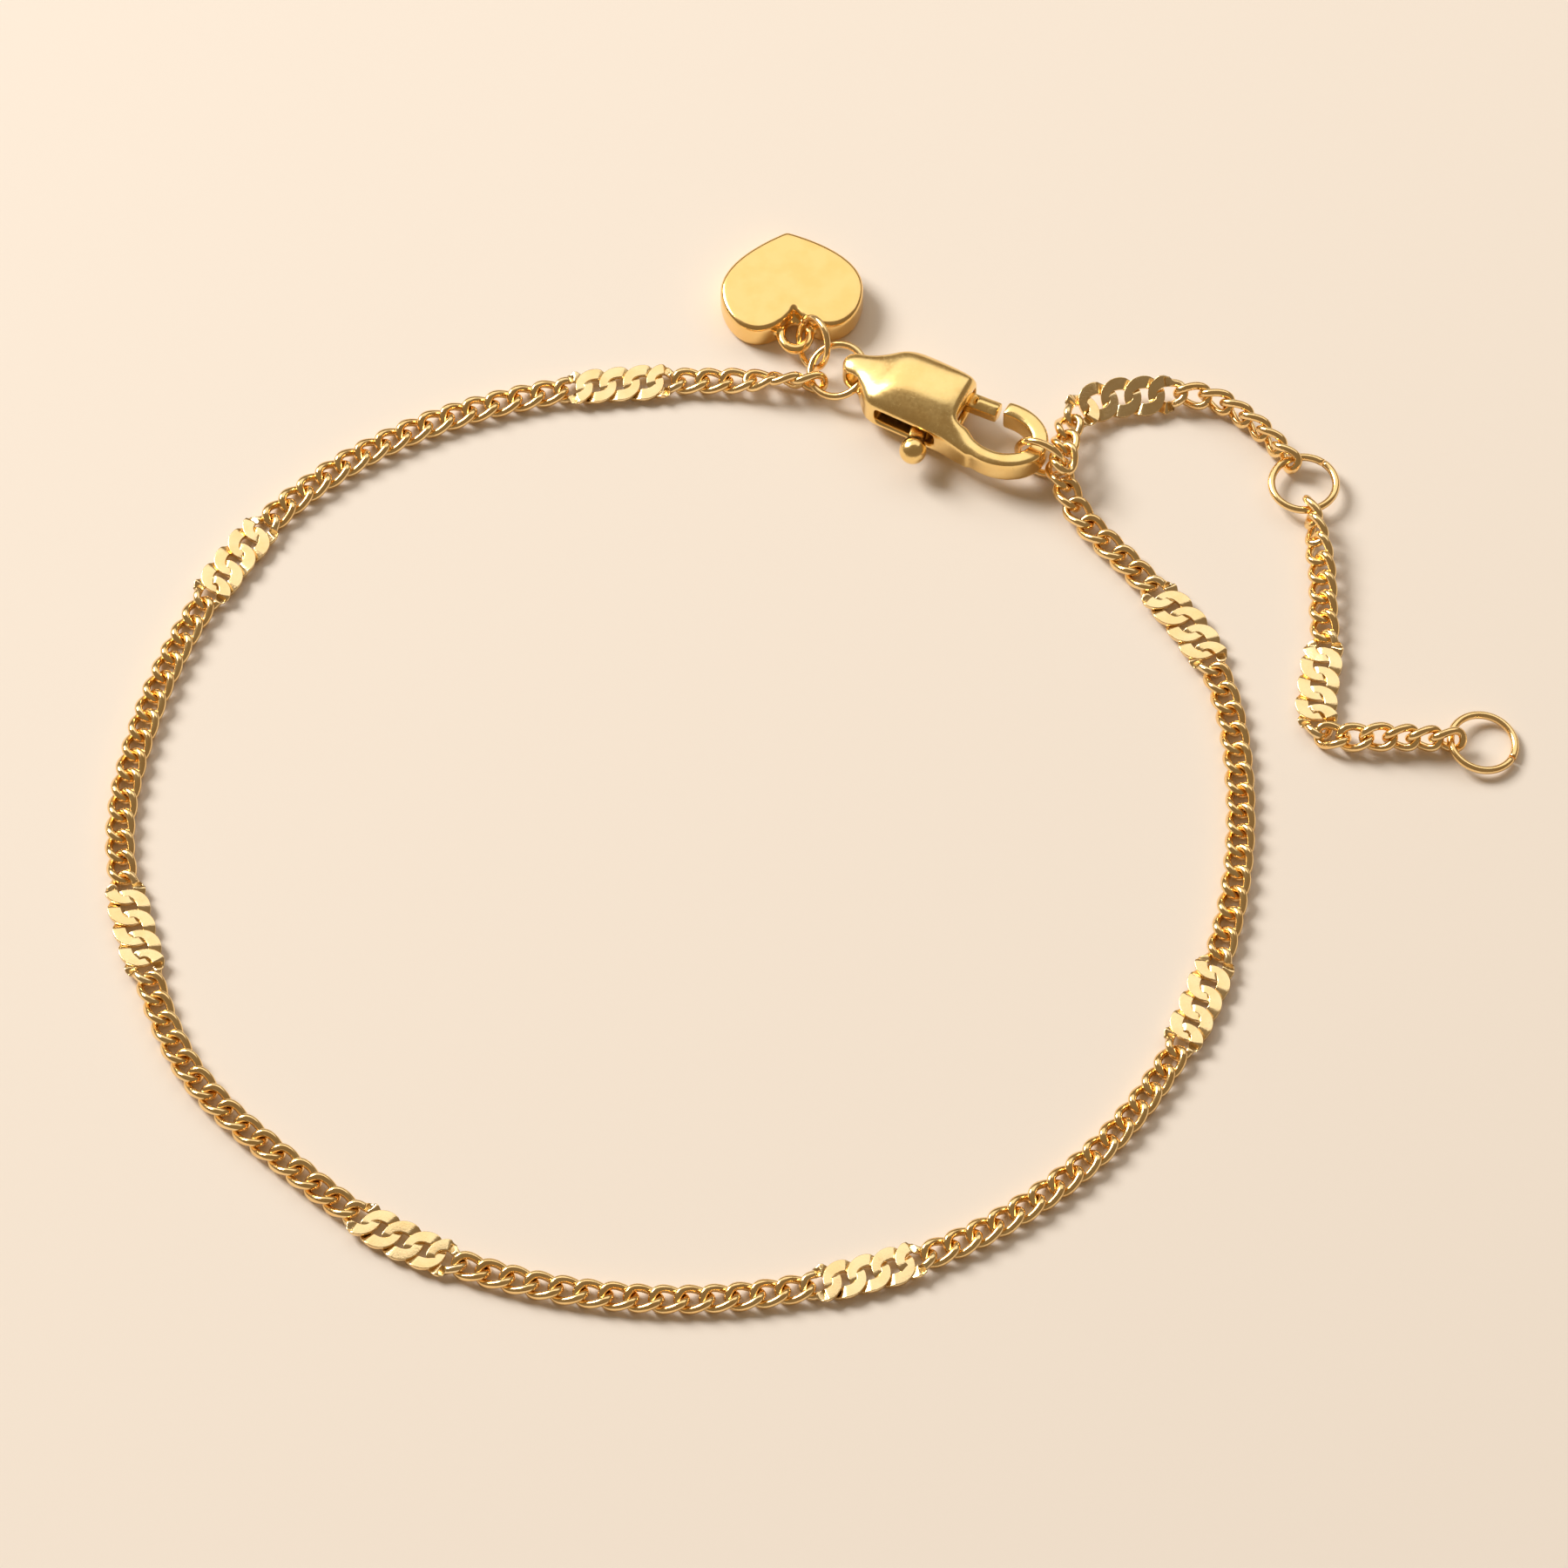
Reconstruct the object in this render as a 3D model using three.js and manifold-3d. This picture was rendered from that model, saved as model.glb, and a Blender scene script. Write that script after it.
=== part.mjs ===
// Flat chain bracelet with a lobster clasp, a heart charm and an extender chain, lying on a table
// Units are millimetres, z is up and the viewer stands on the -y side

import * as THREE from "three";
import { mergeVertices } from "three/addons/utils/BufferGeometryUtils.js";
import Module from "manifold-3d";

const wasm = await Module();
wasm.setup();

// Round links: the wire is bent to an oval and swings up and down as it goes round
const WIRE = 0.36;
const LINK_WIDTH = 1.5;
const LINK_SWING = 0.15;
const LINK_SIDES = 5;
const LINK_STEPS = 10;
const LOOK_AHEAD = 0.4;
const CLOSE = 0.005;

// Links pressed flat: a broad band of thin sheet
const FLAT_WIDTH = 2.0;
const FLAT_BAND = 0.56;
const FLAT_SHEET = 0.22;
const FLAT_SWING = 0.08;
const FLAT_SIDES = 4;

// How the main chain is made up, in numbers of links
const END_LINKS = 7;
const FLAT_LINKS = 4;
const PLAIN_LINKS = 15;
const STATIONS = 7;

// How each stretch of the extender is made up: plain links, flat links, plain links
const UPPER_FIRST = 4;
const UPPER_LAST = 6;
const LOWER_FIRST = 8;
const LOWER_LAST = 6;

// A plain run of links as one solid tube
const TUBE_HEIGHT = 0.84;
const TUBE_SIDES = 8;
const TUBE_STEPS = 8;
const GAP = 0.3;

// Rings of bare wire
const RING_WIRE = 0.38;
const RING_SIDES = 6;
const RING_STEPS = 16;
const JUMP_RING_RADIUS = 1.38;
const JUMP_RING_OUT = [0.97, 0.13, 0.17];
const JUMP_RING_THROUGH = [-0.1, 0.94, 0.3];
const JUMP_RING_HOLD = 0.15;
const JUNCTION_RING_RADIUS = 1.22;
const EXTENDER_RING_RADIUS = 1.58;
const END_RING_TILT = 8;
const CHARM_RING_RADIUS = 1.25;
const CHARM_RING_WIRE = 0.32;

// Clasp, measured from its tail along x, with the gate on the +y side
const CLASP_TURN = -25;
const CLASP_THICK = 2.9;
const TAIL_THICK = 1.9;
const TAIL_WIDTH = 1.4;
const TAIL_HOLE = 1.2;
const TAIL_HOLE_X = 0.95;
const SHOULDER = 2.6;
const SWELL = 0.6;
const RISE_END = 3.4;
const BODY_FRONT = 6.6;
const FALL_START = 5.7;
const FALL_END = 8.0;
const FRONT_NARROW = 0.8;
const BODY_NEAR = 2.1;
const BODY_FAR = 1.9;
const NEAR_FRONT = 2.35;
const SIDE_THICK = 1.9;
const FAR_SIDE_THICK = 1.9;
const CROWN_NEAR = -0.8;
const CROWN_FAR = 1.2;
const SPINE = 0.95;
const MOUTH_END = 5.85;
const HOOK_LENGTH = 4.9;
const HOOK_WIDTH = 3.9;
const HOOK_BAR = 0.85;
const HOOK_THICK = 1.4;
const HOOK_EDGE = 0.8;
const HOOK_X = 8.8;
const HOOK_Y = -0.75;
const TIP_X = 8.4;
const LEAF_STEPS = 6;
const SIDE_STEPS = 5;
const HOOK_STEPS = 20;
const ROUND_SIDES = 12;
const PAST = 1;

// Lever of the clasp, its slot and its pin
const SLOT = 0.9;
const SLOT_WALL = 0.55;
const LEVER_THICK = 0.62;
const PIVOT_X = 4.5;
const PIVOT_Y = 0.3;
const PIN = 0.7;
const PIN_PLAY = 0.15;
const HUB = 1.7;
const GATE_WIDTH = 0.9;
const GATE_ROD = 0.92;
const GATE_GAP = 0.3;
const GATE_DROP = 0.1;
const ARM_WIDTH = 0.8;
const NUB = 1.4;
const NUB_X = 5.2;
const NUB_Y = -3.15;
const NUB_RINGS = 8;
const HUB_SIDES = 16;

// Heart charm with its eye
const HEART_WIDTH = 7.1;
const HEART_HEIGHT = 6.0;
const HEART_THICK = 1.5;
const HEART_BEVEL = 0.2;
const HEART_TURN = 4;
const HEART_STEPS = 10;
const HEART_BEVEL_STEPS = 2;
const EYE_RADIUS = 0.72;
const EYE_WIRE = 0.52;
const EYE_STRETCH = 1.25;
const EYE_SIDES = 8;

// Right half of the heart's outline, in shares of its half sizes: two handles and the end of each curve
const HEART_CURVES = [
  [0.4, 0.8, 1, 0.4, 1, -0.17],
  [1, -0.65, 0.76, -1, 0.5, -1],
  [0.28, -1, 0.08, -0.8, 0, -0.58],
];

// Route of the main chain over the table, from the clasp's ring round to the hook
const LOOP_ROUTE = [
  [1.8, 23.08], [-5.2, 23.4], [-12.1, 22.6], [-18.8, 20.1], [-24.4, 15.8],
  [-28.2, 10.0], [-30.6, 3.6], [-31.6, -3.2], [-30.3, -9.8], [-27.8, -16.2],
  [-23.1, -21.2], [-17.8, -25.3], [-11.5, -27.7], [-4.8, -28.5], [1.7, -27.7],
  [8.1, -25.5], [13.7, -21.5], [17.8, -16.2], [20.5, -9.9], [21.7, -3.2],
  [21.4, 3.8], [20.0, 8.0], [17.3, 11.8], [14.3, 15.5], [13.34, 18.0],
];

// Routes of the extender: from the hook to the middle ring, and on to the end ring
const UPPER_ROUTE = [
  [13.61, 17.19], [13.75, 18.9], [14.0, 20.3], [14.8, 21.5], [16.1, 22.1], [18.0, 22.3],
  [19.8, 22.3], [21.2, 22.0], [22.5, 21.1], [23.5, 20.1], [24.3, 19.1], [24.93, 18.19],
];
const LOWER_ROUTE = [
  [25.65, 15.83], [25.9, 13.9], [26.1, 11.9], [26.1, 9.8], [26.1, 7.8], [25.8, 5.8],
  [25.6, 4.0], [25.9, 2.6], [27.4, 2.2], [29.4, 2.1], [32.32, 2.05],
];

// How the chain lies along each route: at link number, roll in degrees, climb above the table
const LOOP_POSES = [
  [0, 90, 0.02], [1, 85, 0.05], [3, 25, 0.05], [5.5, 0, 0.05], [7.5, 0, 0],
  [127, 0, 0], [129, 6, 0.05], [132, 18, 0.36],
];
const UPPER_POSES = [
  [0, 0, 1.45], [1, 0, 1.35], [2, 5, 0.8], [3, 12, 0.4], [4.5, 22, 0.1],
  [6, 22, 0], [7, 26, 0], [8, 60, 0], [9, 75, 0], [14, 90, 0],
];
const LOWER_POSES = [
  [0, 90, 0], [1, 70, 0], [2.5, 35, 0], [5, 22, 0], [8, 8, 0], [12, 0, 0.02],
  [12.5, 5, 0.07], [13.5, 20, 0.07], [15, 65, 0.05], [18, 90, 0],
];

// Places of the single pieces on the table
const CLASP_AT = [2.92, 23.55];
const JUNCTION_ON_HOOK = [11.05, -0.9];
const EXTENDER_RING_AT = [25.4, 17.06, 0.69];
const END_RING_AT = [33.49, 2.05, 0.48];
const HEART_AT = [0.35, 28.9];
const EYE_OFFSET = [0.0, -2.9];
const CHARM_RING_AT = [1.44, 25.07, 1.34];
const CHARM_RING_FACES = [-0.89, -0.44, 0.42];

const rad = THREE.MathUtils.degToRad;

// A finish for each kind of metal surface
function gold(color, roughness) {
  return new THREE.MeshStandardMaterial({ color, roughness, metalness: 1 });
}
const WIRE_GOLD = gold(0xd9a441, 0.25);
const FLAT_GOLD = gold(0xf0cf7a, 0.15);
const CLASP_GOLD = gold(0xd4a548, 0.3);
const HEART_GOLD = gold(0xf0b84f, 0.2);

// Turns a closed geometry into a solid that can be joined and cut
function solid(geometry, matrix = new THREE.Matrix4()) {
  const bare = new THREE.BufferGeometry();
  bare.setAttribute("position", geometry.getAttribute("position").clone());
  if (geometry.index) bare.setIndex(geometry.index.clone());
  bare.applyMatrix4(matrix);
  const merged = mergeVertices(bare, 1e-4);
  return new wasm.Manifold(
    new wasm.Mesh({
      numProp: 3,
      vertProperties: new Float32Array(merged.attributes.position.array),
      triVerts: new Uint32Array(merged.index.array),
    }),
  );
}

// Turns a joined solid back into a geometry
function geometryOf(shape) {
  const mesh = shape.getMesh();
  const geometry = new THREE.BufferGeometry();
  geometry.setAttribute("position", new THREE.BufferAttribute(mesh.vertProperties, 3));
  geometry.setIndex(new THREE.BufferAttribute(mesh.triVerts, 1));
  geometry.computeVertexNormals();
  return geometry;
}

function joined(solids) {
  return solids.reduce((whole, piece) => whole.add(piece));
}

// The solid without needle-thin faces and without the tiny pockets shut in where links press on each other
function outerSkin(shape) {
  return shape.simplify(CLOSE).decompose().reduce((a, b) => (a.volume() > b.volume() ? a : b));
}

function named(name, geometry, material) {
  const mesh = new THREE.Mesh(geometry, material);
  mesh.name = name;
  return mesh;
}

// A closed link: an oval band whose centre line swings up and down twice each way round
function linkGeometry({ length, width, band, sheet, swing, sides }) {
  const tube = 0.5;
  const geometry = new THREE.TorusGeometry(1, tube, sides, LINK_STEPS);
  const position = geometry.getAttribute("position");
  const halfLength = (length - band) / 2;
  const halfWidth = (width - band) / 2;
  const corner = sides === 4 ? 1 : 0;
  for (let i = 0; i < position.count; i++) {
    const x = position.getX(i);
    const y = position.getY(i);
    const around = Math.atan2(y, x);
    const out = (Math.hypot(x, y) - 1) / tube;
    const up = position.getZ(i) / tube;
    const outward = (band / 2) * (out - corner * up);
    const upward = (sheet / 2) * (up + corner * out);
    const normal = new THREE.Vector2(Math.cos(around) / halfLength, Math.sin(around) / halfWidth);
    normal.normalize();
    position.setXYZ(
      i,
      halfLength * Math.cos(around) + outward * normal.x,
      halfWidth * Math.sin(around) + outward * normal.y,
      upward - swing * Math.sin(2 * around),
    );
  }
  return geometry;
}

function plainLink(pitch) {
  return linkGeometry({
    length: pitch + 2 * WIRE,
    width: LINK_WIDTH,
    band: WIRE,
    sheet: WIRE,
    swing: LINK_SWING,
    sides: LINK_SIDES,
  });
}

function flatLink(pitch) {
  return linkGeometry({
    length: pitch + 2 * FLAT_BAND,
    width: FLAT_WIDTH,
    band: FLAT_BAND,
    sheet: FLAT_SHEET,
    swing: FLAT_SWING,
    sides: FLAT_SIDES,
  });
}

// A stretch of chain laid along a route: places are counted in links from its start
class Stretch {
  constructor(route, links, poses, flats) {
    const points = route.map(([x, y]) => new THREE.Vector3(x, y, 0));
    this.curve = new THREE.CatmullRomCurve3(points, false, "centripetal");
    this.curve.arcLengthDivisions = 1000;
    this.links = links;
    this.poses = poses;
    this.flats = flats;
    this.pitch = this.curve.getLength() / links;
  }

  // Roll and climb at a place, read from the table of poses
  pose(at) {
    const place = THREE.MathUtils.clamp(at, this.poses[0][0], this.poses.at(-1)[0]);
    const next = Math.max(1, this.poses.findIndex((row) => row[0] >= place));
    const [from, rollFrom, climbFrom] = this.poses[next - 1];
    const [to, rollTo, climbTo] = this.poses[next];
    const share = (place - from) / (to - from);
    return {
      roll: rad(THREE.MathUtils.lerp(rollFrom, rollTo, share)),
      climb: THREE.MathUtils.lerp(climbFrom, climbTo, share),
    };
  }

  isFlat(at) {
    return this.flats.some((start) => at > start && at < start + FLAT_LINKS);
  }

  // A link of this width rests on the table at this height
  point(at, width = LINK_WIDTH) {
    const { roll, climb } = this.pose(at);
    const rest = (WIRE / 2 + LINK_SWING) * Math.cos(roll) + (width / 2) * Math.sin(roll);
    const point = this.curve.getPointAt(THREE.MathUtils.clamp(at / this.links, 0, 1));
    return point.setZ(rest + climb);
  }

  // Place and turn of a link: x along the chain, z out of its face
  frame(at) {
    const along = this.point(at + LOOK_AHEAD).sub(this.point(at - LOOK_AHEAD)).normalize();
    const up = new THREE.Vector3(0, 0, 1).addScaledVector(along, -along.z).normalize();
    up.applyAxisAngle(along, this.pose(at).roll);
    const side = new THREE.Vector3().crossVectors(up, along);
    const width = this.isFlat(at) ? FLAT_WIDTH : LINK_WIDTH;
    return new THREE.Matrix4().makeBasis(along, side, up).setPosition(this.point(at, width));
  }

  // The links between two places, fused into one solid
  fused(from, to) {
    const solids = [];
    for (let at = from + 0.5; at < to; at++) {
      const link = this.isFlat(at) ? flatLink(this.pitch) : plainLink(this.pitch);
      solids.push(solid(link, this.frame(at)));
    }
    return geometryOf(outerSkin(joined(solids)));
  }

  // The plain links between two places as one solid tube of oval section
  tube(from, to) {
    const start = from + (FLAT_BAND + GAP) / this.pitch;
    const end = to - (FLAT_BAND + GAP) / this.pitch;
    const points = [];
    for (let i = 0; i <= TUBE_STEPS; i++) {
      const at = THREE.MathUtils.lerp(start, end, i / TUBE_STEPS);
      points.push(this.curve.getPointAt(at / this.links).setZ(TUBE_HEIGHT / 2));
    }
    const grow = 1 / Math.cos(Math.PI / TUBE_SIDES);
    const section = new THREE.Shape();
    for (let i = 0; i < TUBE_SIDES; i++) {
      const turn = ((i + 0.5) / TUBE_SIDES) * 2 * Math.PI;
      const x = (TUBE_HEIGHT / 2) * grow * Math.cos(turn);
      const y = (LINK_WIDTH / 2) * grow * Math.sin(turn);
      if (i === 0) section.moveTo(x, y);
      else section.lineTo(x, y);
    }
    section.closePath();
    const extrudePath = new THREE.CatmullRomCurve3(points);
    return new THREE.ExtrudeGeometry(section, { steps: TUBE_STEPS, extrudePath });
  }
}

function wireRing(radius, wire) {
  return new THREE.TorusGeometry(radius, wire / 2, RING_SIDES, RING_STEPS);
}

// The main chain: seven stations of flat links with plain runs between them
function mainChain() {
  const step = FLAT_LINKS + PLAIN_LINKS;
  const stations = Array.from({ length: STATIONS }, (_, i) => END_LINKS + i * step);
  const links = 2 * END_LINKS + STATIONS * FLAT_LINKS + (STATIONS - 1) * PLAIN_LINKS;
  const chain = new Stretch(LOOP_ROUTE, links, LOOP_POSES, stations);
  const group = new THREE.Group();
  const first = stations[0] + FLAT_LINKS;
  const last = stations[STATIONS - 1];
  group.add(named("links_at_clasp", chain.fused(0, first), WIRE_GOLD.clone()));
  group.add(named("links_at_hook", chain.fused(last, links), WIRE_GOLD.clone()));
  stations.slice(1, -1).forEach((at, i) => {
    group.add(named(`flat_links_${i + 1}`, chain.fused(at, at + FLAT_LINKS), FLAT_GOLD.clone()));
  });
  stations.slice(1).forEach((at, i) => {
    group.add(named(`plain_run_${i + 1}`, chain.tube(at - PLAIN_LINKS, at), WIRE_GOLD.clone()));
  });
  return group;
}

// The extender: two stretches of links, the ring between them and the ring at its end
function extender() {
  const group = new THREE.Group();
  const upperLinks = UPPER_FIRST + FLAT_LINKS + UPPER_LAST;
  const upper = new Stretch(UPPER_ROUTE, upperLinks, UPPER_POSES, [UPPER_FIRST]);
  group.add(named("extender_links_upper", upper.fused(0, upperLinks), WIRE_GOLD.clone()));
  const lowerLinks = LOWER_FIRST + FLAT_LINKS + LOWER_LAST;
  const lower = new Stretch(LOWER_ROUTE, lowerLinks, LOWER_POSES, [LOWER_FIRST]);
  group.add(named("extender_links_lower", lower.fused(0, lowerLinks), WIRE_GOLD.clone()));
  const ringShape = wireRing(EXTENDER_RING_RADIUS, RING_WIRE);
  const middle = named("extender_ring", ringShape, WIRE_GOLD.clone());
  middle.position.set(...EXTENDER_RING_AT);
  const end = named("end_ring", ringShape, WIRE_GOLD.clone());
  end.position.set(...END_RING_AT);
  end.rotation.y = rad(END_RING_TILT);
  group.add(middle, end);
  return group;
}

// A cylinder that stands along an axis, as a solid
function rod(diameter, length, place, sides, lying = false) {
  const geometry = new THREE.CylinderGeometry(diameter / 2, diameter / 2, length, sides);
  if (!lying) geometry.rotateX(Math.PI / 2);
  geometry.translate(...place);
  return solid(geometry);
}

function block(from, to) {
  const low = new THREE.Vector3(...from);
  const high = new THREE.Vector3(...to);
  const size = high.clone().sub(low);
  const middle = high.add(low).multiplyScalar(0.5);
  const geometry = new THREE.BoxGeometry(size.x, size.y, size.z);
  geometry.translate(middle.x, middle.y, middle.z);
  return solid(geometry);
}

// An outline drawn flat and pulled up both ways from z = 0
function slab(shape, thick, curveSegments) {
  const geometry = new THREE.ExtrudeGeometry(shape, {
    depth: thick,
    bevelEnabled: false,
    curveSegments,
  });
  geometry.translate(0, 0, -thick / 2);
  return geometry;
}

// The clasp's body seen from above: a leaf from the tail to the front
function bodyOutline() {
  const tail = TAIL_WIDTH / 2;
  const bend = SHOULDER * SWELL;
  const shape = new THREE.Shape();
  shape.moveTo(tail, -tail);
  shape.bezierCurveTo(bend, -tail, bend, -BODY_NEAR, SHOULDER, -BODY_NEAR);
  shape.lineTo(BODY_FRONT, -NEAR_FRONT);
  shape.lineTo(BODY_FRONT, BODY_FAR * FRONT_NARROW);
  shape.quadraticCurveTo((SHOULDER + BODY_FRONT) / 2, BODY_FAR, RISE_END, BODY_FAR);
  shape.bezierCurveTo(SHOULDER, BODY_FAR, bend, tail, tail, tail);
  shape.absarc(tail, 0, tail, Math.PI / 2, (3 * Math.PI) / 2, false);
  return shape;
}

function ellipse(width, height, x, y) {
  const shape = new THREE.Shape();
  shape.absellipse(x, y, width / 2, height / 2, 0, 2 * Math.PI, false);
  return shape;
}

// The clasp seen from the side: thin tail, full body, lower hook
function sideOutline() {
  const tail = TAIL_THICK / 2;
  const full = CLASP_THICK / 2;
  const hook = HOOK_THICK / 2;
  const end = HOOK_X + HOOK_LENGTH;
  const rise = (TAIL_WIDTH + RISE_END) / 2;
  const fall = (FALL_START + FALL_END) / 2;
  const shape = new THREE.Shape();
  shape.moveTo(-PAST, -tail);
  shape.lineTo(-PAST, tail);
  shape.lineTo(TAIL_WIDTH, tail);
  shape.bezierCurveTo(rise, tail, rise, full, RISE_END, full);
  shape.lineTo(FALL_START, full);
  shape.bezierCurveTo(fall, full, fall, hook, FALL_END, hook);
  shape.lineTo(end, hook);
  shape.lineTo(end, -hook);
  shape.lineTo(FALL_END, -hook);
  shape.bezierCurveTo(fall, -hook, fall, -full, FALL_START, -full);
  shape.lineTo(RISE_END, -full);
  shape.bezierCurveTo(rise, -full, rise, -tail, TAIL_WIDTH, -tail);
  return shape;
}

// The clasp seen from the front: a flat crown with a slope down to each side
function frontOutline() {
  const top = [
    [-BODY_NEAR - HOOK_WIDTH, HOOK_EDGE / 2], [-BODY_NEAR, SIDE_THICK / 2],
    [CROWN_NEAR, CLASP_THICK / 2], [CROWN_FAR, CLASP_THICK / 2],
    [BODY_FAR, FAR_SIDE_THICK / 2], [BODY_FAR + HOOK_WIDTH, HOOK_EDGE / 2],
  ];
  const shape = new THREE.Shape();
  top.forEach(([y, z], i) => (i === 0 ? shape.moveTo(y, z) : shape.lineTo(y, z)));
  top.reverse().forEach(([y, z]) => shape.lineTo(y, -z));
  return shape;
}

// A flat bar between two points, as thick as asked
function bar(from, to, width, thick) {
  const a = new THREE.Vector2(...from);
  const b = new THREE.Vector2(...to);
  const along = b.clone().sub(a);
  const geometry = new THREE.BoxGeometry(along.length(), width, thick);
  geometry.rotateZ(along.angle());
  const middle = a.add(b).multiplyScalar(0.5);
  geometry.translate(middle.x, middle.y, 0);
  return solid(geometry);
}

// The hook: an oval bar on the body's spine, open on the gate's side from the front to its tip
function hookSolid() {
  const outline = ellipse(HOOK_LENGTH, HOOK_WIDTH, HOOK_X, HOOK_Y);
  const outer = solid(slab(outline, CLASP_THICK, HOOK_STEPS));
  const inside = ellipse(HOOK_LENGTH - 2 * HOOK_BAR, HOOK_WIDTH - 2 * HOOK_BAR, HOOK_X, HOOK_Y);
  const inner = solid(slab(inside, CLASP_THICK + PAST, HOOK_STEPS));
  const mouthSide = SPINE - BODY_NEAR;
  const mouth = block([BODY_FRONT, mouthSide, -CLASP_THICK], [TIP_X, HOOK_WIDTH, CLASP_THICK]);
  const neck = bar(
    [BODY_FRONT - SPINE, -(BODY_NEAR + NEAR_FRONT - SPINE) / 2],
    [HOOK_X - HOOK_BAR, HOOK_Y - (HOOK_WIDTH - HOOK_BAR) / 2],
    HOOK_BAR,
    CLASP_THICK,
  );
  return outer.subtract(inner).subtract(mouth).add(neck);
}

// The body of the clasp with its hook, its slot for the lever and the pin across the slot
function claspBody() {
  const plan = solid(slab(bodyOutline(), CLASP_THICK, LEAF_STEPS)).add(hookSolid());
  const side = slab(sideOutline(), 4 * HOOK_WIDTH, SIDE_STEPS).rotateX(Math.PI / 2);
  const front = slab(frontOutline(), 2 * (HOOK_X + HOOK_LENGTH), 1);
  front.rotateX(Math.PI / 2).rotateZ(Math.PI / 2);
  const chamber = block(
    [SHOULDER, SPINE - BODY_NEAR, -SLOT / 2],
    [BODY_FRONT + PAST, BODY_FAR - SLOT_WALL, SLOT / 2],
  );
  const sideMouth = block([SHOULDER, -NEAR_FRONT - PAST, -SLOT / 2], [MOUTH_END, 0, SLOT / 2]);
  const eye = rod(TAIL_HOLE, TAIL_WIDTH + PAST, [TAIL_HOLE_X, 0, 0], ROUND_SIDES, true);
  const pin = rod(PIN, SLOT + SLOT_WALL, [PIVOT_X, PIVOT_Y, 0], ROUND_SIDES);
  const shell = plan.intersect(solid(side)).intersect(solid(front));
  return shell.subtract(chamber).subtract(sideMouth).subtract(eye).add(pin);
}

// The lever: a hub on the pin, the gate that closes the hook and the arm with its round nub
function claspLever() {
  const pivot = [PIVOT_X, PIVOT_Y];
  const gateY = HOOK_Y + (HOOK_WIDTH - HOOK_BAR) / 2 - GATE_DROP;
  const gateEnd = TIP_X - GATE_GAP;
  const gate = bar([PIVOT_X, gateY], [gateEnd, gateY], GATE_WIDTH, LEVER_THICK);
  const rodStart = BODY_FRONT + GATE_GAP;
  const finger = new THREE.CylinderGeometry(GATE_ROD / 2, GATE_ROD / 2, gateEnd - rodStart, ROUND_SIDES);
  finger.rotateZ(Math.PI / 2).translate((gateEnd + rodStart) / 2, gateY, 0);
  const arm = bar(pivot, [NUB_X, NUB_Y], ARM_WIDTH, LEVER_THICK);
  const hub = rod(HUB, LEVER_THICK, [...pivot, 0], HUB_SIDES);
  const ball = new THREE.SphereGeometry(NUB / 2, ROUND_SIDES, NUB_RINGS);
  ball.translate(NUB_X, NUB_Y, 0);
  const bore = rod(PIN + 2 * PIN_PLAY, LEVER_THICK + PAST, [...pivot, 0], ROUND_SIDES);
  return joined([hub, gate, arm, solid(finger), solid(ball)]).subtract(bore);
}

// The clasp with the rings at both of its ends
function clasp() {
  const group = new THREE.Group();
  group.position.set(...CLASP_AT, CLASP_THICK / 2);
  group.rotation.z = rad(CLASP_TURN);
  group.add(named("clasp_body", geometryOf(claspBody()), CLASP_GOLD.clone()));
  group.add(named("clasp_lever", geometryOf(claspLever()), CLASP_GOLD.clone()));
  const jumpShape = wireRing(JUMP_RING_RADIUS, RING_WIRE);
  const jump = named("clasp_jump_ring", jumpShape, WIRE_GOLD.clone());
  const out = new THREE.Vector3(...JUMP_RING_OUT).normalize();
  const faces = new THREE.Vector3(...JUMP_RING_THROUGH).cross(out).negate().normalize();
  jump.quaternion.setFromUnitVectors(new THREE.Vector3(0, 0, 1), faces);
  jump.position.set(TAIL_HOLE_X + JUMP_RING_HOLD, 0, 0).addScaledVector(out, -JUMP_RING_RADIUS);
  const junctionShape = wireRing(JUNCTION_RING_RADIUS, RING_WIRE);
  const junction = named("junction_ring", junctionShape, WIRE_GOLD.clone());
  junction.position.set(...JUNCTION_ON_HOOK, 0);
  junction.rotation.x = Math.PI / 2;
  group.add(jump, junction);
  return group;
}

// The charm: a thick heart with soft edges and an eye soldered into its notch
function heartOutline() {
  const w = HEART_WIDTH / 2;
  const h = HEART_HEIGHT / 2;
  const right = HEART_CURVES.map((curve) => curve.map((share, i) => share * (i % 2 ? h : w)));
  const starts = [[0, h], ...right.map((curve) => curve.slice(-2))];
  const shape = new THREE.Shape();
  shape.moveTo(...starts[0]);
  right.forEach((curve) => shape.bezierCurveTo(...curve));
  for (let i = right.length - 1; i >= 0; i--) {
    const [ax, ay, bx, by] = right[i];
    const [x, y] = starts[i];
    shape.bezierCurveTo(-bx, by, -ax, ay, -x, y);
  }
  return shape;
}

function heartCharm() {
  const heart = new THREE.ExtrudeGeometry(heartOutline(), {
    depth: HEART_THICK - 2 * HEART_BEVEL,
    bevelThickness: HEART_BEVEL,
    bevelSize: HEART_BEVEL,
    bevelOffset: -HEART_BEVEL,
    bevelSegments: HEART_BEVEL_STEPS,
    curveSegments: HEART_STEPS,
  });
  heart.translate(0, 0, HEART_BEVEL);
  const eye = new THREE.TorusGeometry(EYE_RADIUS, EYE_WIRE / 2, EYE_SIDES, RING_STEPS);
  eye.scale(1, EYE_STRETCH, 1);
  eye.translate(...EYE_OFFSET, HEART_THICK / 2);
  const shape = geometryOf(solid(heart).add(solid(eye)));
  const charm = named("heart_charm", shape, HEART_GOLD.clone());
  charm.position.set(...HEART_AT, 0);
  charm.rotation.z = rad(HEART_TURN);
  return charm;
}

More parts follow.
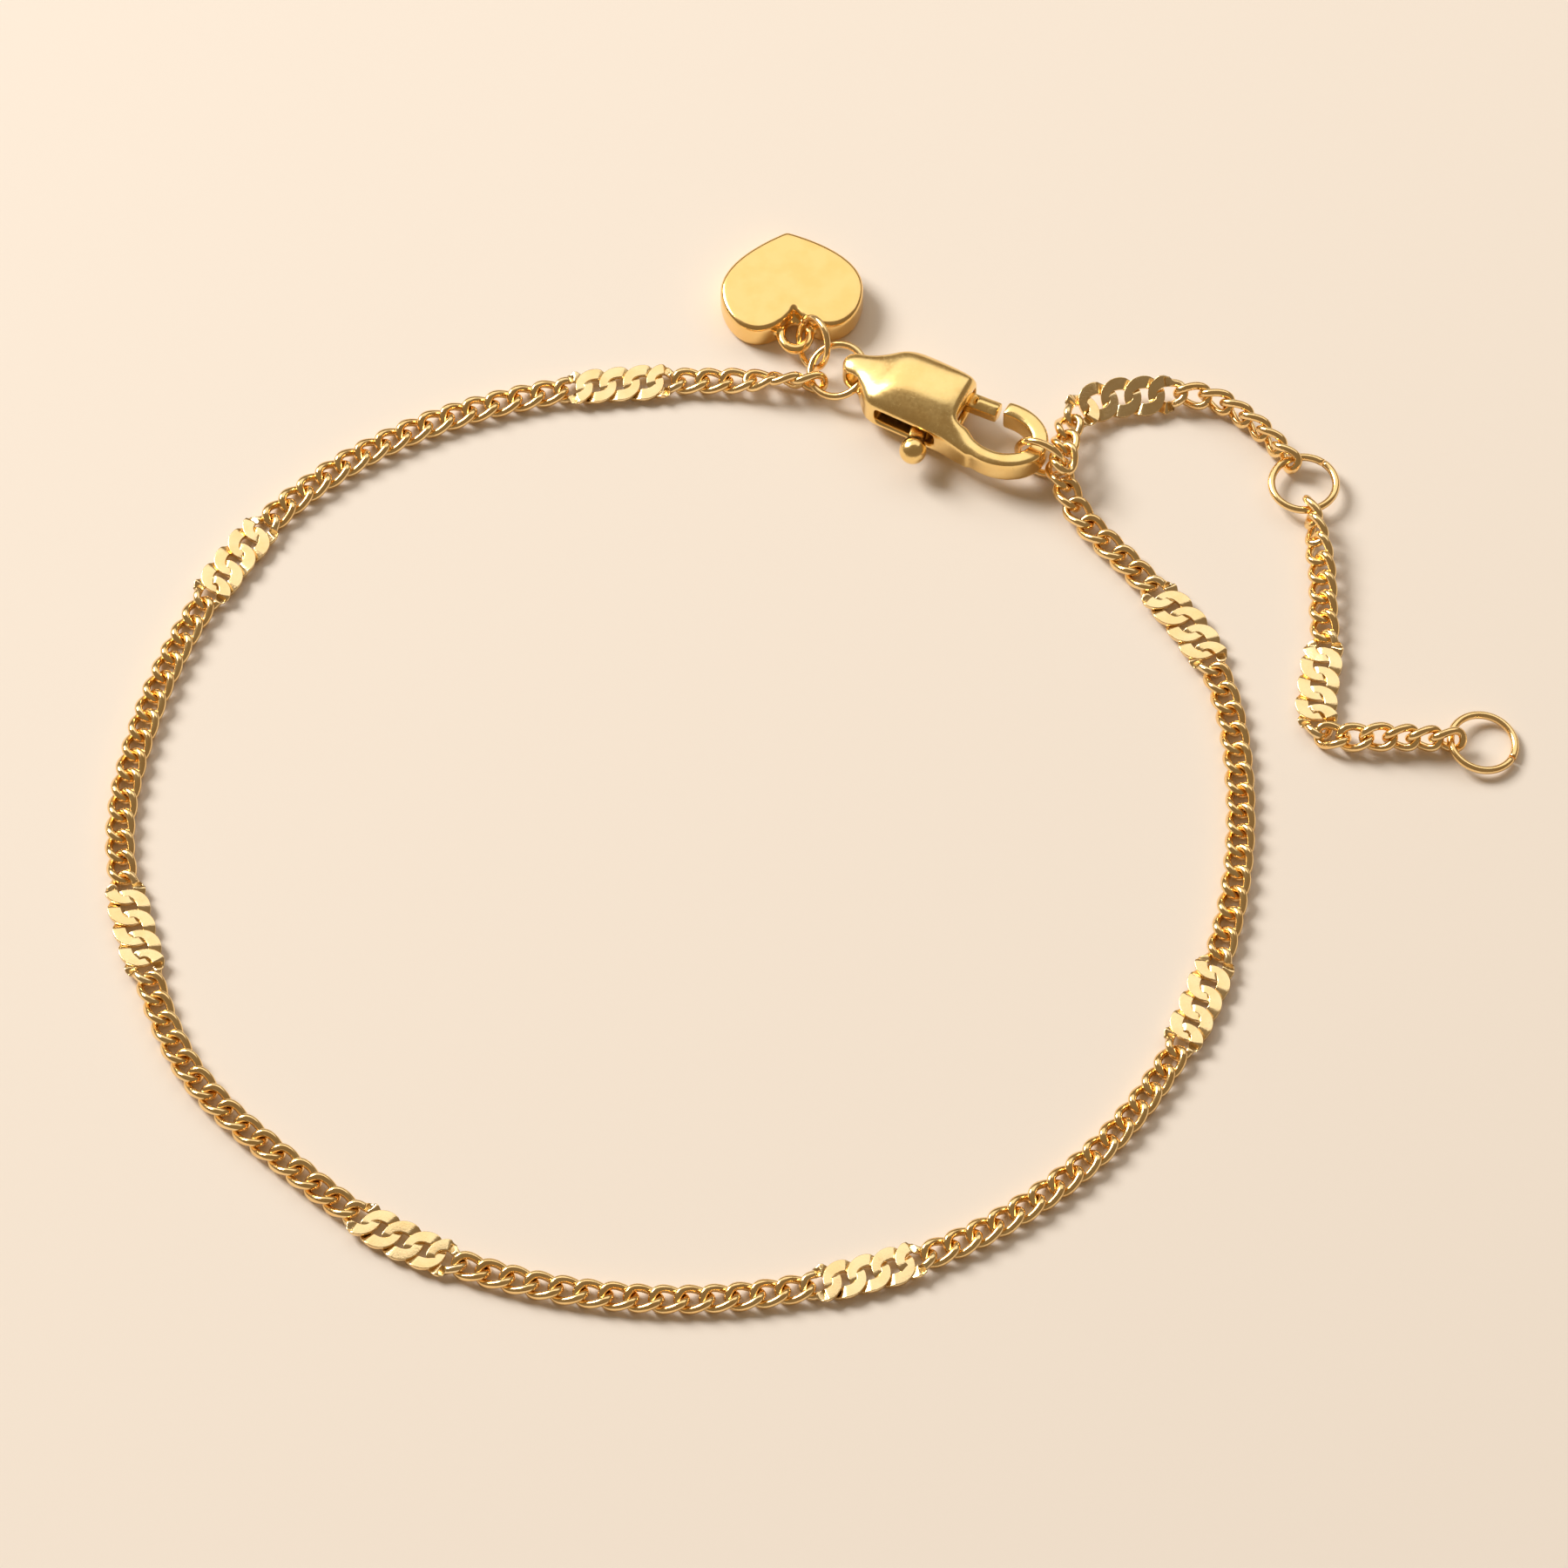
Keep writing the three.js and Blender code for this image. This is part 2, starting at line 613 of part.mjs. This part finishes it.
// The small ring that carries the heart on the clasp's ring
function charmRing() {
  const shape = wireRing(CHARM_RING_RADIUS, CHARM_RING_WIRE);
  const ring = named("charm_ring", shape, WIRE_GOLD.clone());
  const faces = new THREE.Vector3(...CHARM_RING_FACES).normalize();
  ring.quaternion.setFromUnitVectors(new THREE.Vector3(0, 0, 1), faces);
  ring.position.set(...CHARM_RING_AT);
  return ring;
}

// The whole bracelet, moved so that its origin is the middle of the table area it covers
const bracelet = new THREE.Group();
bracelet.add(mainChain(), extender(), clasp(), heartCharm(), charmRing());
const bounds = new THREE.Box3().setFromObject(bracelet, true);
const middle = bounds.getCenter(new THREE.Vector3());
bracelet.position.set(-middle.x, -middle.y, -bounds.min.z);

export default bracelet;
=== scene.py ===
import bpy
import numpy as np
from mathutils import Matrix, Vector


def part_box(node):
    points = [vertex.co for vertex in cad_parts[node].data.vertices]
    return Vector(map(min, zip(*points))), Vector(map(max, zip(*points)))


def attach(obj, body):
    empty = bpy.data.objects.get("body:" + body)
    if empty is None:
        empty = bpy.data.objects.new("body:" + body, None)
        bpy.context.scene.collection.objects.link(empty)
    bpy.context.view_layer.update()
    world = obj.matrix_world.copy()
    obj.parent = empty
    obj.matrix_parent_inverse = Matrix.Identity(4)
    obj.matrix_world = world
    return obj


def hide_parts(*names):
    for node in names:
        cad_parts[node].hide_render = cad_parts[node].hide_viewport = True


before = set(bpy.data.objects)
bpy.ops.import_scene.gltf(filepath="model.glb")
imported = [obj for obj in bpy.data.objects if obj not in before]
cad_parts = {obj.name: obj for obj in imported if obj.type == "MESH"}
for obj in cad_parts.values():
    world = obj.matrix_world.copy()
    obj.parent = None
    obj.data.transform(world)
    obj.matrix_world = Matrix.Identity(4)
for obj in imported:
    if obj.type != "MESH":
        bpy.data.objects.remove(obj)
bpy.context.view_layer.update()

MM = 0.001

# Camera: aimed at the routes' origin from in front and above
CAMERA_RISE = 57.0
CAMERA_DISTANCE = 400.0
CAMERA_LENS = 192.0
CAMERA_SENSOR = 36.0
CAMERA_NEAR = 10.0
CAMERA_FAR = 10000.0

# Floor: half its width, its color, roughness and shine
FLOOR_REACH = 900.0
FLOOR_COLOR = (0.88, 0.8, 0.711)
FLOOR_ROUGHNESS = 0.85
FLOOR_SHINE = 0.2

# Light panels: place, width and height, power and color
KEY_PANEL = ((-630, 450, 630), (420, 420), 9.9, (1.0, 0.97, 0.93))
BACK_PANEL = ((0, 400, 500), (1300, 460), 1.78, (1.0, 0.99, 0.96))
SURROUND_COLOR = (0.235, 0.18, 0.12)

# Golds: main color, deeper color, roughness from least to most, depth and size of the grain
WIRE_GOLD = ((1.0, 0.73, 0.35), (0.96, 0.65, 0.28), (0.12, 0.22), 0.1, 0.12)
# The pressed flats use the chain's own gold made lighter. This is painted brightness for the bright back
# panel the flats reflect, added on top of the real reflection from the lamps.
FLAT_GOLD_PAINTED_BRIGHT = ((1.0, 0.77, 0.42), (0.98, 0.7, 0.34), (0.12, 0.26), 0.4, 0.09)
CLASP_GOLD = ((1.0, 0.73, 0.31), (0.97, 0.67, 0.26), (0.2, 0.28), 0.05, 0.16)
HEART_GOLD = ((0.99, 0.68, 0.27), (0.97, 0.64, 0.23), (0.16, 0.22), 0.04, 0.16)

# What all golds share: their broad patches of tint and their fine grain
TINT_SCALE = 900.0
TINT_DETAIL = 3.0
TINT_RANGE = (0.35, 0.6)
GRAIN_DETAIL = 5.0
GRAIN_ROUGHNESS = 0.6
GRAIN_RANGE = (0.3, 0.7)
GRAIN_STEP = 0.02

# Round links
WIRE = 0.4
LINK_WIDTH = 1.46
LINK_SWING = 0.2
LINK_SIDES = 16
LINK_STEPS = 40

# Links pressed flat: the band is narrowest at a link's tips, and its raised part dives under the next link
FLAT_WIDTH = 2.04
FLAT_BAND = 0.63
FLAT_TIP = 0.42
FLAT_SHEET = 0.21
FLAT_SWING = 0.11
FLAT_PRESS = 5.0
FLAT_TOP = 0.72
FLAT_REST = 0.3
FLAT_CORNER = 0.12
PRESS_BLEND = 0.3

# How the chains are made up, in numbers of links
END_LINKS = 7
FLAT_LINKS = 4
PLAIN_LINKS = 15
STATIONS = 7
UPPER_LINKS = 14
UPPER_FLATS = 4
LOWER_LINKS = 18
LOWER_FLATS = 8

# Small turns of each link in its neighbours, and how many links away it looks for its direction
LOOSE_ROLL = 3.0
LOOSE_TURN = 2.0
LOOK_AHEAD = 0.4
SEED = 11

# Even meshes of the cast pieces: their mesh size, and how many times they are smoothed
BODY_CAST = (0.055, 300)
LEVER_CAST = (0.05, 16)
HEART_CAST = (0.055, 22)

# The clasp's place and turn, and where its body is polished most
CLASP_AT = np.array([2.92, 23.55, 1.45])
CLASP_TURN = -25.0
CROWN_FROM = 0.6
CROWN_FULL = 1.0
HOOK_FROM = 10.0
HOOK_FULL = 9.0
EDGE_SHARE = 0.16

# Rings of bare wire: how finely they are drawn, half the width of the slit, and how even a ring's mesh is
RING_STEPS = 72
RING_SIDES = 16
RING_SLIT = 1.2
RING_EVEN = 0.05

# Wire of each ring and where its slit is
RINGS = {
    "clasp_jump_ring": (0.38, 200.0),
    "junction_ring": (0.38, 60.0),
    "extender_ring": (0.38, 40.0),
    "end_ring": (0.38, 300.0),
    "charm_ring": (0.32, 120.0),
}

# Route of the main chain over the floor, from the clasp's ring round to the hook
LOOP_ROUTE = [
    [1.8, 23.08], [-5.2, 23.4], [-12.1, 22.6], [-18.8, 20.1], [-24.4, 15.8],
    [-28.2, 10.0], [-30.6, 3.6], [-31.6, -3.2], [-30.3, -9.8], [-27.8, -16.2],
    [-23.1, -21.2], [-17.8, -25.3], [-11.5, -27.7], [-4.8, -28.5], [1.7, -27.7],
    [8.1, -25.5], [13.7, -21.5], [17.8, -16.2], [20.5, -9.9], [21.7, -3.2],
    [21.4, 3.8], [20.0, 8.0], [17.3, 11.8], [14.3, 15.5], [13.34, 18.0],
]

# Routes of the extender: from the hook to the middle ring, and on to the end ring
UPPER_ROUTE = [
    [13.61, 17.19], [13.75, 18.9], [14.0, 20.3], [14.8, 21.5], [16.1, 22.1], [18.0, 22.3],
    [19.8, 22.3], [21.2, 22.0], [22.5, 21.1], [23.5, 20.1], [24.3, 19.1], [24.93, 18.19],
]
LOWER_ROUTE = [
    [25.65, 15.83], [25.9, 13.9], [26.1, 11.9], [26.1, 9.8], [26.1, 7.8], [25.8, 5.8],
    [25.6, 4.0], [25.9, 2.6], [27.4, 2.2], [29.4, 2.1], [32.32, 2.05],
]

# How the chain lies along each route: link number, roll, climb above the floor
LOOP_POSES = [
    [0, 90, 0.02], [1, 78, 0.05], [2, 40, 0.05], [3, 12, 0.05], [4, 0, 0.05], [7.5, 0, 0],
    [127, 0, 0], [129, 6, 0.05], [132, 18, 0.36],
]
UPPER_POSES = [
    [0, 0, 1.45], [1, 0, 1.35], [2, 5, 0.8], [3, 12, 0.4], [4.5, 22, 0.1],
    [6, 22, 0], [7, 26, 0], [8, 60, 0], [9, 75, 0], [14, 90, 0],
]
LOWER_POSES = [
    [0, 90, 0], [1, 70, 0], [2.5, 35, 0], [5, 22, 0], [8, 8, 0], [12, 0, 0.02],
    [12.5, 5, 0.07], [13.5, 20, 0.07], [15, 65, 0.05], [18, 90, 0],
]

# The middle ring's place on the routes, and how many points each part of a route gets
ROUTE_SAMPLES = 120
MIDDLE_RING_AT = np.array([25.4, 17.06])

random = np.random.default_rng(SEED)


def ring_middle(node):
    low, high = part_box(node)
    return (np.array(low) + np.array(high)) / 2 / MM


# The frame's origin isn't the routes' origin: the middle ring says how far apart they are
OFFSET = np.array([*(ring_middle("extender_ring")[:2] - MIDDLE_RING_AT), 0.0])


def new_object(name, mesh):
    piece = bpy.data.objects.new(name, mesh)
    bpy.context.scene.collection.objects.link(piece)
    return piece


def new_mesh(name, points, faces):
    mesh = bpy.data.meshes.new(name)
    mesh.from_pydata([tuple(p) for p in np.asarray(points) * MM], [], faces)
    mesh.polygons.foreach_set("use_smooth", [True] * len(mesh.polygons))
    mesh.update()
    return mesh


def dress(piece, material, slot, body, *nodes):
    piece.data.materials.clear()
    piece.data.materials.append(material)
    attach(piece, body)
    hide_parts(*nodes)
    return piece


# A gold with broad patches of a deeper tint and a fine grain
def metal(name, color, deep, roughness, grain, grain_size):
    material = bpy.data.materials.new(name)
    material.use_nodes = True
    nodes = material.node_tree.nodes
    links = material.node_tree.links
    shader = nodes["Principled BSDF"]
    shader.inputs["Metallic"].default_value = 1.0
    place = nodes.new("ShaderNodeTexCoord")
    broad = nodes.new("ShaderNodeTexNoise")
    broad.inputs["Scale"].default_value = TINT_SCALE
    broad.inputs["Detail"].default_value = TINT_DETAIL
    links.new(place.outputs["Object"], broad.inputs["Vector"])
    tint = nodes.new("ShaderNodeMix")
    tint.data_type = "RGBA"
    tint.inputs["A"].default_value = (*deep, 1.0)
    tint.inputs["B"].default_value = (*color, 1.0)
    spread = nodes.new("ShaderNodeMapRange")
    spread.inputs["From Min"].default_value = TINT_RANGE[0]
    spread.inputs["From Max"].default_value = TINT_RANGE[1]
    links.new(broad.outputs["Fac"], spread.inputs["Value"])
    links.new(spread.outputs["Result"], tint.inputs["Factor"])
    links.new(tint.outputs["Result"], shader.inputs["Base Color"])
    fine = nodes.new("ShaderNodeTexNoise")
    fine.inputs["Scale"].default_value = 1 / (grain_size * MM)
    fine.inputs["Detail"].default_value = GRAIN_DETAIL
    fine.inputs["Roughness"].default_value = GRAIN_ROUGHNESS
    links.new(place.outputs["Object"], fine.inputs["Vector"])
    gloss = nodes.new("ShaderNodeMapRange")
    gloss.inputs["From Min"].default_value = GRAIN_RANGE[0]
    gloss.inputs["From Max"].default_value = GRAIN_RANGE[1]
    gloss.inputs["To Min"].default_value = roughness[0]
    gloss.inputs["To Max"].default_value = roughness[1]
    links.new(fine.outputs["Fac"], gloss.inputs["Value"])
    links.new(gloss.outputs["Result"], shader.inputs["Roughness"])
    bump = nodes.new("ShaderNodeBump")
    bump.inputs["Strength"].default_value = grain
    bump.inputs["Distance"].default_value = GRAIN_STEP * MM
    links.new(fine.outputs["Fac"], bump.inputs["Height"])
    links.new(bump.outputs["Normal"], shader.inputs["Normal"])
    return material


wire_gold = metal("wire_gold", *WIRE_GOLD)
# The flats' gold is a lighter copy of the wire gold, with painted brightness where the flats reflect the
# back panel.
flat_gold_painted_bright = metal("flat_gold_painted_bright", *FLAT_GOLD_PAINTED_BRIGHT)
clasp_gold = metal("clasp_gold", *CLASP_GOLD)
heart_gold = metal("heart_gold", *HEART_GOLD)


# Points evenly spaced along a smooth curve through the route's points
class Route:
    def __init__(self, points):
        points = np.array(points, float)
        ends = [2 * points[0] - points[1], 2 * points[-1] - points[-2]]
        padded = np.vstack([ends[0], points, ends[1]])
        share = np.linspace(0, 1, ROUTE_SAMPLES, endpoint=False)[:, None]
        parts = []
        for i in range(len(points) - 1):
            before, start, end, after = padded[i : i + 4]
            gaps = [np.linalg.norm(b - a) ** 0.5 for a, b in ((before, start), (start, end), (end, after))]
            leave = (start - before) / gaps[0] - (end - before) / (gaps[0] + gaps[1])
            leave = (leave + (end - start) / gaps[1]) * gaps[1]
            reach = (end - start) / gaps[1] - (after - start) / (gaps[1] + gaps[2])
            reach = (reach + (after - end) / gaps[2]) * gaps[1]
            square = -3 * start + 3 * end - 2 * leave - reach
            cube = 2 * start - 2 * end + leave + reach
            parts.append(start + leave * share + square * share**2 + cube * share**3)
        self.points = np.vstack([*parts, points[-1:]])
        steps = np.linalg.norm(np.diff(self.points, axis=0), axis=1)
        self.along = np.concatenate([[0], np.cumsum(steps)])
        self.length = self.along[-1]

    def at(self, share):
        place = np.clip(share, 0, 1) * self.length
        return np.array([np.interp(place, self.along, self.points[:, i]) for i in (0, 1)])


# A closed band that follows a centre line: its section's points say how far out and how far up they lie
def band(centre, out, up, section):
    steps, sides = len(centre), section.shape[1]
    rim = section[:, :, :1] * out[:, None, :] + section[:, :, 1:] * up[:, None, :]
    points = (centre[:, None, :] + rim).reshape(-1, 3)
    faces = []
    for i in range(steps):
        here = i * sides
        there = (i + 1) % steps * sides
        for j in range(sides):
            k = (j + 1) % sides
            faces.append((here + j, there + j, there + k, here + k))
    return points, faces


def unit(vectors):
    return vectors / np.linalg.norm(vectors, axis=-1, keepdims=True)


def round_section(sides, radius):
    turn = np.arange(sides) / sides * 2 * np.pi + np.pi / sides
    return np.stack([np.cos(turn), np.sin(turn)], axis=1) * radius


# A link whose back half and front half are each round wire or pressed flat
def link(pitch, back, front):
    around = np.arange(LINK_STEPS) / LINK_STEPS * 2 * np.pi
    ahead = np.clip(np.cos(around) / PRESS_BLEND, -1, 1) / 2 + 0.5
    flat = (back + (front - back) * ahead * ahead * (3 - 2 * ahead))[:, None]
    pressed_band = FLAT_TIP + (FLAT_BAND - FLAT_TIP) * np.sin(around)[:, None] ** 2

    def mixed(plain_value, flat_value):
        return plain_value + (flat_value - plain_value) * flat

    zero = np.zeros(LINK_STEPS)
    long_half = mixed(pitch + WIRE, pitch + FLAT_TIP)[:, 0] / 2
    wide_half = mixed(LINK_WIDTH - WIRE, FLAT_WIDTH - FLAT_BAND)[:, 0] / 2
    swing = -np.sin(2 * around)
    pressed_swing = np.clip(FLAT_PRESS * (swing + FLAT_TOP), -1, 1)
    lift = mixed(swing[:, None] * LINK_SWING, pressed_swing[:, None] * FLAT_SWING)
    centre = np.stack([long_half * np.cos(around), wide_half * np.sin(around), lift[:, 0]], axis=1)
    along = unit(np.roll(centre, -1, axis=0) - np.roll(centre, 1, axis=0))
    level_out = unit(np.stack([np.cos(around) / long_half, np.sin(around) / wide_half, zero], axis=1))
    wire_out = unit(level_out - along * np.sum(level_out * along, axis=1, keepdims=True))
    wire_up = np.cross(along, wire_out)
    out = unit(mixed(wire_out, level_out))
    up = unit(mixed(wire_up, np.stack([zero, zero, zero + 1], axis=1)))
    turn = np.arange(LINK_SIDES) / LINK_SIDES * 2 * np.pi + np.pi / LINK_SIDES
    ring = np.stack([np.cos(turn), np.sin(turn)], axis=1)[None]
    corner = mixed(1.0, FLAT_CORNER)[:, :, None]
    section = np.sign(ring) * np.abs(ring) ** corner
    sizes = np.stack([mixed(WIRE, pressed_band)[:, 0], mixed(WIRE, FLAT_SHEET)[:, 0]], axis=1) / 2
    return band(centre, out, up, section * sizes[:, None, :])


# A chain of links along a route, with its groups of pressed links given by where they start
class Stretch:
    def __init__(self, route, links, poses, flats):
        self.route = Route(route)
        self.links = links
        self.poses = np.array(poses, float)
        self.flats = flats
        self.pitch = self.route.length / links

    def pose(self, at):
        roll, climb = (np.interp(at, self.poses[:, 0], self.poses[:, i]) for i in (1, 2))
        return np.radians(roll), climb

    # Where two links cross, from 0 for round wire to 1 for pressed flat
    def pressed(self, crossing):
        return float(any(start <= crossing < start + FLAT_LINKS for start in self.flats))

    def halves(self, at):
        return self.pressed(at - 0.5), self.pressed(at + 0.5)

    def point(self, at):
        roll, climb = self.pose(at)
        flat = sum(self.halves(np.floor(at) + 0.5)) / 2
        lying = WIRE / 2 + LINK_SWING + (FLAT_REST - WIRE / 2 - LINK_SWING) * flat
        width = LINK_WIDTH + (FLAT_WIDTH - LINK_WIDTH) * flat
        rest = lying * np.cos(roll) + width / 2 * np.sin(roll)
        return np.array([*self.route.at(at / self.links), rest + climb])

    # Where a link is and how it is turned: rows are along, side and up
    def frame(self, at):
        along = unit(self.point(at + LOOK_AHEAD) - self.point(at - LOOK_AHEAD))
        loose = np.radians(random.uniform(-1, 1, 2) * (LOOSE_ROLL, LOOSE_TURN))
        up = unit(np.array([0, 0, 1.0]) - along * along[2])
        side = np.cross(up, along)
        along, side = (
            along * np.cos(loose[1]) + side * np.sin(loose[1]),
            side * np.cos(loose[1]) - along * np.sin(loose[1]),
        )
        roll = self.pose(at)[0] + loose[0]
        up, side = up * np.cos(roll) - side * np.sin(roll), side * np.cos(roll) + up * np.sin(roll)
        return self.point(at), np.array([along, side, up])

    # The links between two places that are pressed flat, even in part, or that are round wire
    def links_between(self, start, end, flat):
        points, faces = [], []
        for at in np.arange(start + 0.5, end):
            back, front = self.halves(at)
            if (back + front > 0) != flat:
                continue
            link_points, link_faces = link(self.pitch, back, front)
            middle, turn = self.frame(at)
            count = sum(len(p) for p in points)
            placed = link_points @ turn + middle + OFFSET
            placed[:, 2] -= min(placed[:, 2].min(), 0)
            points.append(placed)
            faces += [tuple(count + v for v in face) for face in link_faces]
        return points, faces


# One piece of round links and one of pressed links, in place of a node
def chain_pieces(stretch, node, start, end):
    for flat, material, slot in ((False, wire_gold, "wire"), (True, flat_gold_painted_bright, "flats")):
        points, faces = stretch.links_between(start, end, flat)
        if not points:
            continue
        name = f"{node}.{slot}"
        piece = new_object(name, new_mesh(name, np.vstack(points), faces))
        dress(piece, material, slot, "bracelet", node)


step = FLAT_LINKS + PLAIN_LINKS
stations = [END_LINKS + i * step for i in range(STATIONS)]
loop_links = 2 * END_LINKS + STATIONS * FLAT_LINKS + (STATIONS - 1) * PLAIN_LINKS
loop = Stretch(LOOP_ROUTE, loop_links, LOOP_POSES, stations)
chain_pieces(loop, "links_at_clasp", 0, stations[0] + FLAT_LINKS)
for i in range(1, STATIONS):
    chain_pieces(loop, f"plain_run_{i}", stations[i] - PLAIN_LINKS, stations[i])
    if i < STATIONS - 1:
        chain_pieces(loop, f"flat_links_{i}", stations[i], stations[i] + FLAT_LINKS)
chain_pieces(loop, "links_at_hook", stations[-1], loop_links)
upper = Stretch(UPPER_ROUTE, UPPER_LINKS, UPPER_POSES, [UPPER_FLATS])
chain_pieces(upper, "extender_links_upper", 0, UPPER_LINKS)
lower = Stretch(LOWER_ROUTE, LOWER_LINKS, LOWER_POSES, [LOWER_FLATS])
chain_pieces(lower, "extender_links_lower", 0, LOWER_LINKS)


# A ring of round wire, cut at one place, where the node's ring is
def wire_ring(node, wire, slit_turn):
    vertices = np.array([v.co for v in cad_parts[node].data.vertices]) / MM
    middle = (vertices.min(axis=0) + vertices.max(axis=0)) / 2
    mean = vertices.mean(axis=0)
    if np.linalg.norm(middle - mean) < RING_EVEN:
        middle = mean
    axes = np.linalg.svd(vertices - middle, full_matrices=False)[2]
    spread = (vertices - middle) @ axes.T
    reach = np.linalg.norm(spread[:, :2], axis=1)
    radius = (reach.max() + reach.min()) / 2
    slit = np.radians(RING_SLIT)
    turns = np.linspace(slit, 2 * np.pi - slit, RING_STEPS) + np.radians(slit_turn)
    out = np.cos(turns)[:, None] * axes[0] + np.sin(turns)[:, None] * axes[1]
    up = np.tile(axes[2], (RING_STEPS, 1))
    section = np.tile(round_section(RING_SIDES, wire / 2), (RING_STEPS, 1, 1))
    points, faces = band(middle + radius * out, out, up, section)
    faces = faces[: (RING_STEPS - 1) * RING_SIDES]
    faces.append(tuple(range(RING_SIDES)))
    faces.append(tuple((RING_STEPS - 1) * RING_SIDES + j for j in reversed(range(RING_SIDES))))
    mesh = new_mesh(f"{node}.wire", points, faces)
    for cap in list(mesh.polygons)[-2:]:
        cap.use_smooth = False
    return dress(new_object(f"{node}.wire", mesh), wire_gold, "wire", "bracelet", node)


for ring, (ring_wire, ring_slit) in RINGS.items():
    wire_ring(ring, ring_wire, ring_slit)


# Draws each vertex towards the middle of its neighbours, as far as its share says
def soften(mesh, share, passes):
    count = len(mesh.vertices)
    points = np.zeros(count * 3)
    mesh.vertices.foreach_get("co", points)
    points = points.reshape(-1, 3)
    pairs = np.zeros(len(mesh.edges) * 2, np.int32)
    mesh.edges.foreach_get("vertices", pairs)
    first, second = pairs.reshape(-1, 2).T
    neighbours = np.bincount(pairs, minlength=count)
    pull = share(points / MM) / 2
    for _ in range(passes):
        for axis in range(3):
            place = points[:, axis]
            total = np.bincount(first, place[second], count)
            total += np.bincount(second, place[first], count)
            points[:, axis] = place + pull * (total / neighbours - place)
    mesh.vertices.foreach_set("co", points.ravel())
    mesh.update()


# A cast piece: the solid's own shape with its edges and facets polished round
def polished(node, cast, material, slot, body, share=lambda points: 1.0):
    voxel, passes = cast
    piece = new_object(f"{node}.cast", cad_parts[node].data.copy())
    remesh = piece.modifiers.new("even", "REMESH")
    remesh.mode = "VOXEL"
    remesh.voxel_size = voxel * MM
    remesh.use_smooth_shade = True
    bpy.context.view_layer.update()
    evaluated = piece.evaluated_get(bpy.context.evaluated_depsgraph_get())
    made = bpy.data.meshes.new_from_object(evaluated)
    piece.modifiers.clear()
    made.name = piece.name
    piece.data = made
    soften(made, share, passes)
    return dress(piece, material, slot, body, node)


# Goes smoothly from 0 at the start to 1 at the end
def ramp(value, start, end):
    share = np.clip((value - start) / (end - start), 0, 1)
    return share * share * (3 - 2 * share)


# The crown of the clasp is polished most, its edges and its hook less
def clasp_share(points):
    turn = np.radians(CLASP_TURN)
    place = points - CLASP_AT - OFFSET
    along = place[:, 0] * np.cos(turn) + place[:, 1] * np.sin(turn)
    crown = ramp(np.abs(place[:, 2]), CROWN_FROM, CROWN_FULL) * ramp(along, HOOK_FROM, HOOK_FULL)
    return EDGE_SHARE + (1 - EDGE_SHARE) * crown


polished("clasp_body", BODY_CAST, clasp_gold, "clasp", "bracelet", clasp_share)
polished("clasp_lever", LEVER_CAST, clasp_gold, "clasp", "lever")
polished("heart_charm", HEART_CAST, heart_gold, "heart", "bracelet")


# Floor
corners = [[x * FLOOR_REACH, y * FLOOR_REACH, 0] for x, y in ((-1, -1), (1, -1), (1, 1), (-1, 1))]
floor = new_object("floor", new_mesh("floor", corners, [(0, 1, 2, 3)]))
floor_finish = bpy.data.materials.new("floor_finish")
floor_finish.use_nodes = True
floor_shader = floor_finish.node_tree.nodes["Principled BSDF"]
floor_shader.inputs["Base Color"].default_value = (*FLOOR_COLOR, 1.0)
floor_shader.inputs["Roughness"].default_value = FLOOR_ROUGHNESS
floor_shader.inputs["Specular IOR Level"].default_value = FLOOR_SHINE
floor.data.materials.append(floor_finish)


def aim(thing, place, target):
    thing.location = Vector(place) * MM
    thing.rotation_euler = (Vector(target) - Vector(place)).to_track_quat("-Z", "Y").to_euler()


def panel(name, place, size, power, color):
    light = bpy.data.lights.new(name, "AREA")
    light.shape = "RECTANGLE"
    light.size, light.size_y = (side * MM for side in size)
    light.energy = power
    light.color = color
    lamp = new_object(name, light)
    aim(lamp, place, (0, 0, 0))


panel("key", *KEY_PANEL)
panel("back", *BACK_PANEL)

world = bpy.data.worlds.new("studio")
bpy.context.scene.world = world
world.use_nodes = True
surround = world.node_tree.nodes["Background"]
surround.inputs["Color"].default_value = (*SURROUND_COLOR, 1.0)
surround.inputs["Strength"].default_value = 1.0

rise = np.radians(CAMERA_RISE)
lens = bpy.data.cameras.new("camera")
lens.lens = CAMERA_LENS
lens.sensor_width = CAMERA_SENSOR
lens.clip_start = CAMERA_NEAR * MM
lens.clip_end = CAMERA_FAR * MM
camera = new_object("camera", lens)
aim(camera, OFFSET + CAMERA_DISTANCE * np.array([0, -np.cos(rise), np.sin(rise)]), OFFSET)
bpy.context.scene.camera = camera
bpy.context.scene.view_settings.view_transform = "Standard"
